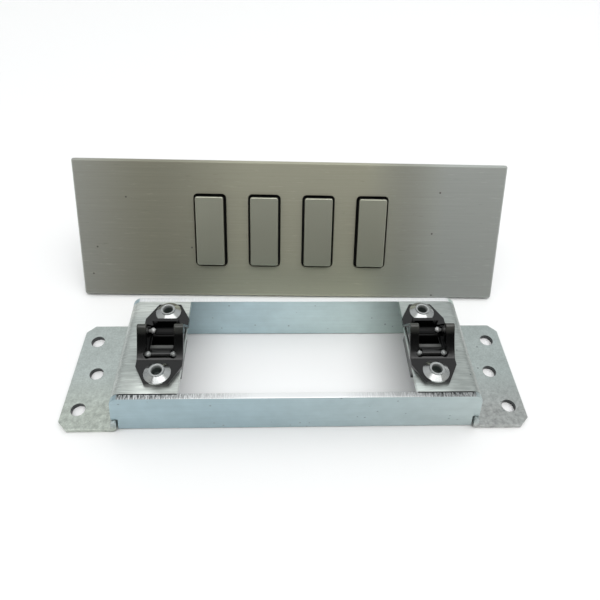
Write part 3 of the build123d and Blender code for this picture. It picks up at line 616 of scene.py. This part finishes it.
def bore_steel():
    """Bore of a rivet: dull steel at the rim, darkened further down by painted shade."""
    material, tree, surface, places = new_material("rivet_bore", metallic=0.3)
    rise = remap(tree, axes(tree, places)[2], *BORE_SHADE_SPAN)
    colour = mix_colour(tree, rise, *BORE_SHADE_COLOURS)
    colour_of(tree, surface, colour, remap(tree, turned(tree, places), *BORE_ROUGHNESS))
    return material


def bead_steel(name, colours):
    """Bright beads on a blackened pin."""
    material, tree, surface, places = new_material(name, metallic=0.35)
    out = unsigned(tree, axes(tree, places)[0])
    from_middle = unsigned(tree, math_node(tree, "SUBTRACT", out, RIVET_X[1] * MM))
    marks = turned(tree, places)
    steel = mix_colour(tree, marks, *colours)
    colour = mix_colour(tree, remap(tree, from_middle, *BEAD), PIN_BLACK, steel)
    colour_of(tree, surface, colour, remap(tree, marks, *PIN_ROUGHNESS))
    return material


BOARD_GREENS = ((0.02, 0.10, 0.04, 1), (0.04, 0.17, 0.07, 1))
BOARD_ROUGHNESS = (0.0, 1.0, 0.40, 0.32)


def board_laminate():
    """Solder mask over glass laminate, with paler tracks under it."""
    material, tree, surface, places = new_material("board_laminate")
    values = {"Vector": on_panel(tree, places), "Scale": 90.0, "Distortion": 4.0}
    tracks = remap(tree, add(tree, "ShaderNodeTexWave", values).outputs["Fac"], 0.6, 0.7)
    colour = mix_colour(tree, tracks, *BOARD_GREENS)
    colour_of(tree, surface, colour, remap(tree, tracks, *BOARD_ROUGHNESS))
    return material


# Dark and light tone of each plain finish, of the painted highlights, and of the lit and shaded copies of
# the jaws' black and of the pins' beads
CATCH_BLACK = ((0.0015, 0.0018, 0.0018, 1), (0.003, 0.003, 0.003, 1))
CREST_HIGHLIGHT = ((0.030, 0.033, 0.030, 1), (0.062, 0.062, 0.056, 1))
FRONT_JAW_BLACK = ((0.006, 0.0065, 0.0065, 1), (0.006, 0.0065, 0.0065, 1))
BEAK_HIGHLIGHT = ((0.035, 0.038, 0.037, 1), (0.085, 0.087, 0.082, 1))
REAR_JAW_SHADED_BLACK = ((0.001, 0.001, 0.001, 1), (0.002, 0.002, 0.002, 1))
HOUSING_BLACK = ((0.022, 0.022, 0.024, 1), (0.034, 0.034, 0.036, 1))
SWITCH_BLACK = ((0.02, 0.02, 0.02, 1), (0.035, 0.035, 0.035, 1))
PLUNGER_CREAM = ((0.60, 0.59, 0.55, 1), (0.70, 0.69, 0.65, 1))
TERMINAL_GREY = ((0.30, 0.32, 0.32, 1), (0.36, 0.38, 0.38, 1))
RIVET_STEEL = ((0.38, 0.395, 0.39, 1), (0.45, 0.465, 0.46, 1))
# Lit and shaded copies of the beads' steel: the rear beads painted light, the front beads painted shade
REAR_BEAD_LIT_STEEL = ((0.60, 0.61, 0.60, 1), (0.72, 0.73, 0.72, 1))
FRONT_BEAD_SHADED_STEEL = ((0.27, 0.285, 0.28, 1), (0.37, 0.385, 0.38, 1))
FASTENER_ZINC = ((0.50, 0.53, 0.54, 1), (0.66, 0.69, 0.69, 1))
SPRING_STRIP = ((0.38, 0.38, 0.37, 1), (0.52, 0.52, 0.50, 1))

RAIL = rail_zinc()
BRACKET = bracket_zinc()
RIVET = bright_metal("bright_steel", RIVET_STEEL, 0.20)
BORE = bore_steel()
REAR_PIN = bead_steel("rear_bead_lit_steel", REAR_BEAD_LIT_STEEL)
FRONT_PIN = bead_steel("front_bead_shaded_steel", FRONT_BEAD_SHADED_STEEL)
# Rear jaws: painted shade, a darker black with less sheen than the front jaws
REAR_JAW = moulded("rear_jaw_shaded_plastic", REAR_JAW_SHADED_BLACK, 0.35, sheen=0.15)
# Front jaws: a painted highlight across their beaks
FRONT_JAW = moulded("front_jaw_highlit_plastic", FRONT_JAW_BLACK, 0.30, painted_highlight=(1, FRONT_BEAK, BEAK_HIGHLIGHT))
FASTENER = bright_metal("fastener_zinc", FASTENER_ZINC, 0.34)
SPRING = bright_metal("spring_strip", SPRING_STRIP, 0.30)
FINISHES = {
    "plate_steel": plate_steel(),
    "key_lacquer": key_lacquer(),
    # The catches' black, with a painted highlight along their crests
    "catch_plastic": moulded("catch_plastic", CATCH_BLACK, 0.17, sheen=0.46, painted_highlight=(2, CREST, CREST_HIGHLIGHT)),
    "spring_steel": SPRING,
    "strike_steel": FASTENER,
    "fastener_steel": FASTENER,
    "housing_plastic": moulded("housing_plastic", HOUSING_BLACK, 0.52),
    "switch_plastic": moulded("switch_plastic", SWITCH_BLACK, 0.45),
    "plunger_plastic": moulded("plunger_plastic", PLUNGER_CREAM, 0.42),
    "board_laminate": board_laminate(),
    "terminal_plastic": moulded("terminal_plastic", TERMINAL_GREY, 0.48),
}
OWN_FINISH = {
    "front_rail": RAIL, "rear_rail": RAIL, "end_bracket_left": BRACKET, "end_bracket_right": BRACKET,
    "front_jaw_pin_left": FRONT_PIN, "front_jaw_pin_right": FRONT_PIN, "rear_jaw_pin_left": REAR_PIN,
    "rear_jaw_pin_right": REAR_PIN, "front_jaw_left": FRONT_JAW, "front_jaw_right": FRONT_JAW,
    "rear_jaw_left": REAR_JAW, "rear_jaw_right": REAR_JAW,
}

# Width of the broken edge of each piece that shows, in millimetres
EDGES = {
    "face_plate": 0.10, "front_rail": 0.25, "rear_rail": 0.25, "end_bracket_left": 0.20,
    "end_bracket_right": 0.20, "catch_body_left": 0.20, "catch_body_right": 0.20,
    "front_jaw_left": 0.30, "front_jaw_right": 0.30, "rear_jaw_left": 0.30, "rear_jaw_right": 0.30,
    "rear_cover": 0.25, "strike_left": 0.10, "strike_right": 0.10, "terminal_block": 0.12,
}


def merged(node):
    """Copy of a node's mesh with its loose facets joined."""
    shape = bmesh.new()
    shape.from_mesh(NODES[node].data)
    bmesh.ops.remove_doubles(shape, verts=shape.verts, dist=JOIN_WITHIN)
    return shape


def piece_of(shape, node, *materials):
    """New piece at the origin, smooth, with a crease where two faces meet at an angle."""
    for face in shape.faces:
        face.smooth = True
    for edge in shape.edges:
        edge.smooth = edge.is_manifold and edge.calc_face_angle() < CREASE_ANGLE
    mesh = bpy.data.meshes.new(node + "_finished")
    shape.to_mesh(mesh)
    shape.free()
    if "custom_normal" in mesh.attributes:
        mesh.attributes.remove(mesh.attributes["custom_normal"])
    for material in materials:
        mesh.materials.append(material)
    piece = bpy.data.objects.new(node + "_finished", mesh)
    bpy.context.scene.collection.objects.link(piece)
    return piece


def stand_for(piece, node):
    """Lets a rigid piece ride on the node's body and shows it in the node's place."""
    piece.modifiers.new("flat_faces", "WEIGHTED_NORMAL").keep_sharp = True
    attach(piece, NODES[node]["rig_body"])
    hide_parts(node)


def finished(node, finish):
    """Copy of a node with its facets joined and its sharp edges broken."""
    shape = merged(node)
    bmesh.ops.dissolve_limit(shape, angle_limit=FLAT_ANGLE, verts=shape.verts, edges=shape.edges)
    sharp = [e for e in shape.edges if e.is_manifold and e.calc_face_angle() > SHARP_ANGLE]
    bmesh.ops.bevel(shape, geom=sharp, offset=EDGES[node] * MM, offset_type="OFFSET", segments=2,
                    profile=0.5, affect="EDGES", material=-1, clamp_overlap=False)
    stand_for(piece_of(shape, node, finish), node)


def rivets(node):
    """The four blind rivets: coned heads with a thin rim and a bore darkened by painted shade, spun from
    one section.
    """
    shape = bmesh.new()
    places = [Vector((x, y)) * MM for x in RIVET_X for y in RIVET_Y]
    for place in places:
        axis = Vector((place.x, place.y, FRAME_TOP))
        points = [shape.verts.new(axis + Vector((r, 0, z)) * MM) for r, z in RIVET_SECTION]
        lines = [shape.edges.new(pair) for pair in zip(points, points[1:])]
        bmesh.ops.spin(shape, geom=points + lines, cent=axis, axis=(0, 0, 1), angle=math.tau,
                       steps=RIVET_STEPS, use_merge=True)
    bmesh.ops.remove_doubles(shape, verts=shape.verts, dist=JOIN_WITHIN)
    bmesh.ops.recalc_face_normals(shape, faces=shape.faces)
    for face in shape.faces:
        middle = face.calc_center_median()
        across = min((middle.xy - place).length for place in places)
        inside = across < BORE_RADIUS and BORE_FLOOR < middle.z < BORE_RIM
        face.material_index = 1 if inside else 0
    stand_for(piece_of(shape, node, RIVET, BORE), node)


def leaf_spring(node):
    """Leaf cut into short lengths across its height, as a piece of its own in the node's place."""
    low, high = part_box(node)
    shape = merged(node)
    for step in range(1, LEAF_STEPS):
        cut = low.lerp(high, step / LEAF_STEPS)
        bmesh.ops.bisect_plane(shape, geom=shape.verts[:] + shape.edges[:] + shape.faces[:], plane_co=cut,
                               plane_no=(0, 0, 1))
    piece = piece_of(shape, node, SPRING)
    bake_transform(piece)
    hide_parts(node)


def dress():
    """Gives every node of the model its finish."""
    for row in frame["record"]["subparts"]:
        node, slot = row["node"], row["material_slot"]
        finish = OWN_FINISH.get(node) or FINISHES.get(slot)
        if node == "catch_rivets":
            rivets(node)
        elif "_jaw_spring_" in node:
            leaf_spring(node)
        elif node in EDGES:
            finished(node, finish)
        else:
            NODES[node].data.materials.clear()
            NODES[node].data.materials.append(finish)


def floor():
    """Plain pale ground under panel and frame."""
    bpy.ops.mesh.primitive_plane_add(size=FLOOR_SIZE)
    ground = bpy.context.object
    ground.name = "floor"
    material, tree, surface, places = new_material("floor_white")
    tint = mix_colour(tree, noise(tree, places, 3.0), *FLOOR_WHITE)
    tree.links.new(tint, surface.inputs["Base Color"])
    surface.inputs["Roughness"].default_value = FLOOR_ROUGHNESS
    ground.data.materials.append(material)


def sky():
    """Soft light from all round: a bright panel above the front, a dark band below it, pale behind."""
    world = bpy.data.worlds.new("studio")
    bpy.context.scene.world = world
    world.use_nodes = True
    tree = world.node_tree
    x, y, z = axes(tree, tree.nodes.new("ShaderNodeTexCoord").outputs["Generated"])
    colour = mix_colour(tree, remap(tree, y, *SKY_TURN), SKY_FRONT, SKY_BACK)
    colour = shaded(tree, colour, remap(tree, z, *SKY_HORIZON))
    band = times(tree, remap(tree, z, *BAND_FOOT), remap(tree, z, *BAND_HEAD))
    band = times(tree, band, remap(tree, y, *BAND_FRONT))
    colour = mix_colour(tree, band, colour, BAND_DARK)
    rise = math_node(tree, "MAXIMUM", z, LEAST_RISE)
    side = math_node(tree, "DIVIDE", x, rise)
    end = math_node(tree, "DIVIDE", times(tree, y, -1.0), rise)
    across = between(tree, side, *PANEL_SIDES, PANEL_RIM)
    lit = times(tree, across, between(tree, end, *PANEL_ENDS, PANEL_FADE))
    colour = mix_colour(tree, lit, colour, PANEL_LIGHT)
    seen = tree.nodes.new("ShaderNodeLightPath").outputs["Is Camera Ray"]
    colour = mix_colour(tree, seen, colour, BACKDROP)
    tree.links.new(colour, tree.nodes["Background"].inputs["Color"])
    tree.nodes["Background"].inputs["Strength"].default_value = SKY_STRENGTH


def lamp(name, place, aim, size, power):
    """Square soft lamp aimed at a point."""
    data = bpy.data.lights.new(name, "AREA")
    data.size = size
    data.energy = power
    light = bpy.data.objects.new(name, data)
    bpy.context.scene.collection.objects.link(light)
    light.visible_glossy = False
    light.location = place
    light.rotation_euler = (Vector(aim) - Vector(place)).to_track_quat("-Z", "Y").to_euler()


def camera():
    """Camera at the photograph's place, pitch, turn and tilt."""
    data = bpy.data.cameras.new("camera")
    data.sensor_width = SENSOR_WIDTH
    data.lens = FOCAL_PIXELS / IMAGE_WIDTH * SENSOR_WIDTH
    data.clip_start = CAMERA_NEAR
    view = bpy.data.objects.new("camera", data)
    bpy.context.scene.collection.objects.link(view)
    turn = Matrix.Rotation(-CAMERA_YAW, 4, "Z") @ Matrix.Rotation(math.pi / 2 - CAMERA_PITCH, 4, "X")
    view.matrix_world = Matrix.Translation(CAMERA_PLACE) @ turn @ Matrix.Rotation(CAMERA_ROLL, 4, "Z")
    bpy.context.scene.camera = view


dress()
floor()
sky()
for lamp_name, lamp_values in LAMPS.items():
    lamp(lamp_name, *lamp_values)
camera()
bpy.context.scene.view_settings.view_transform = "Standard"
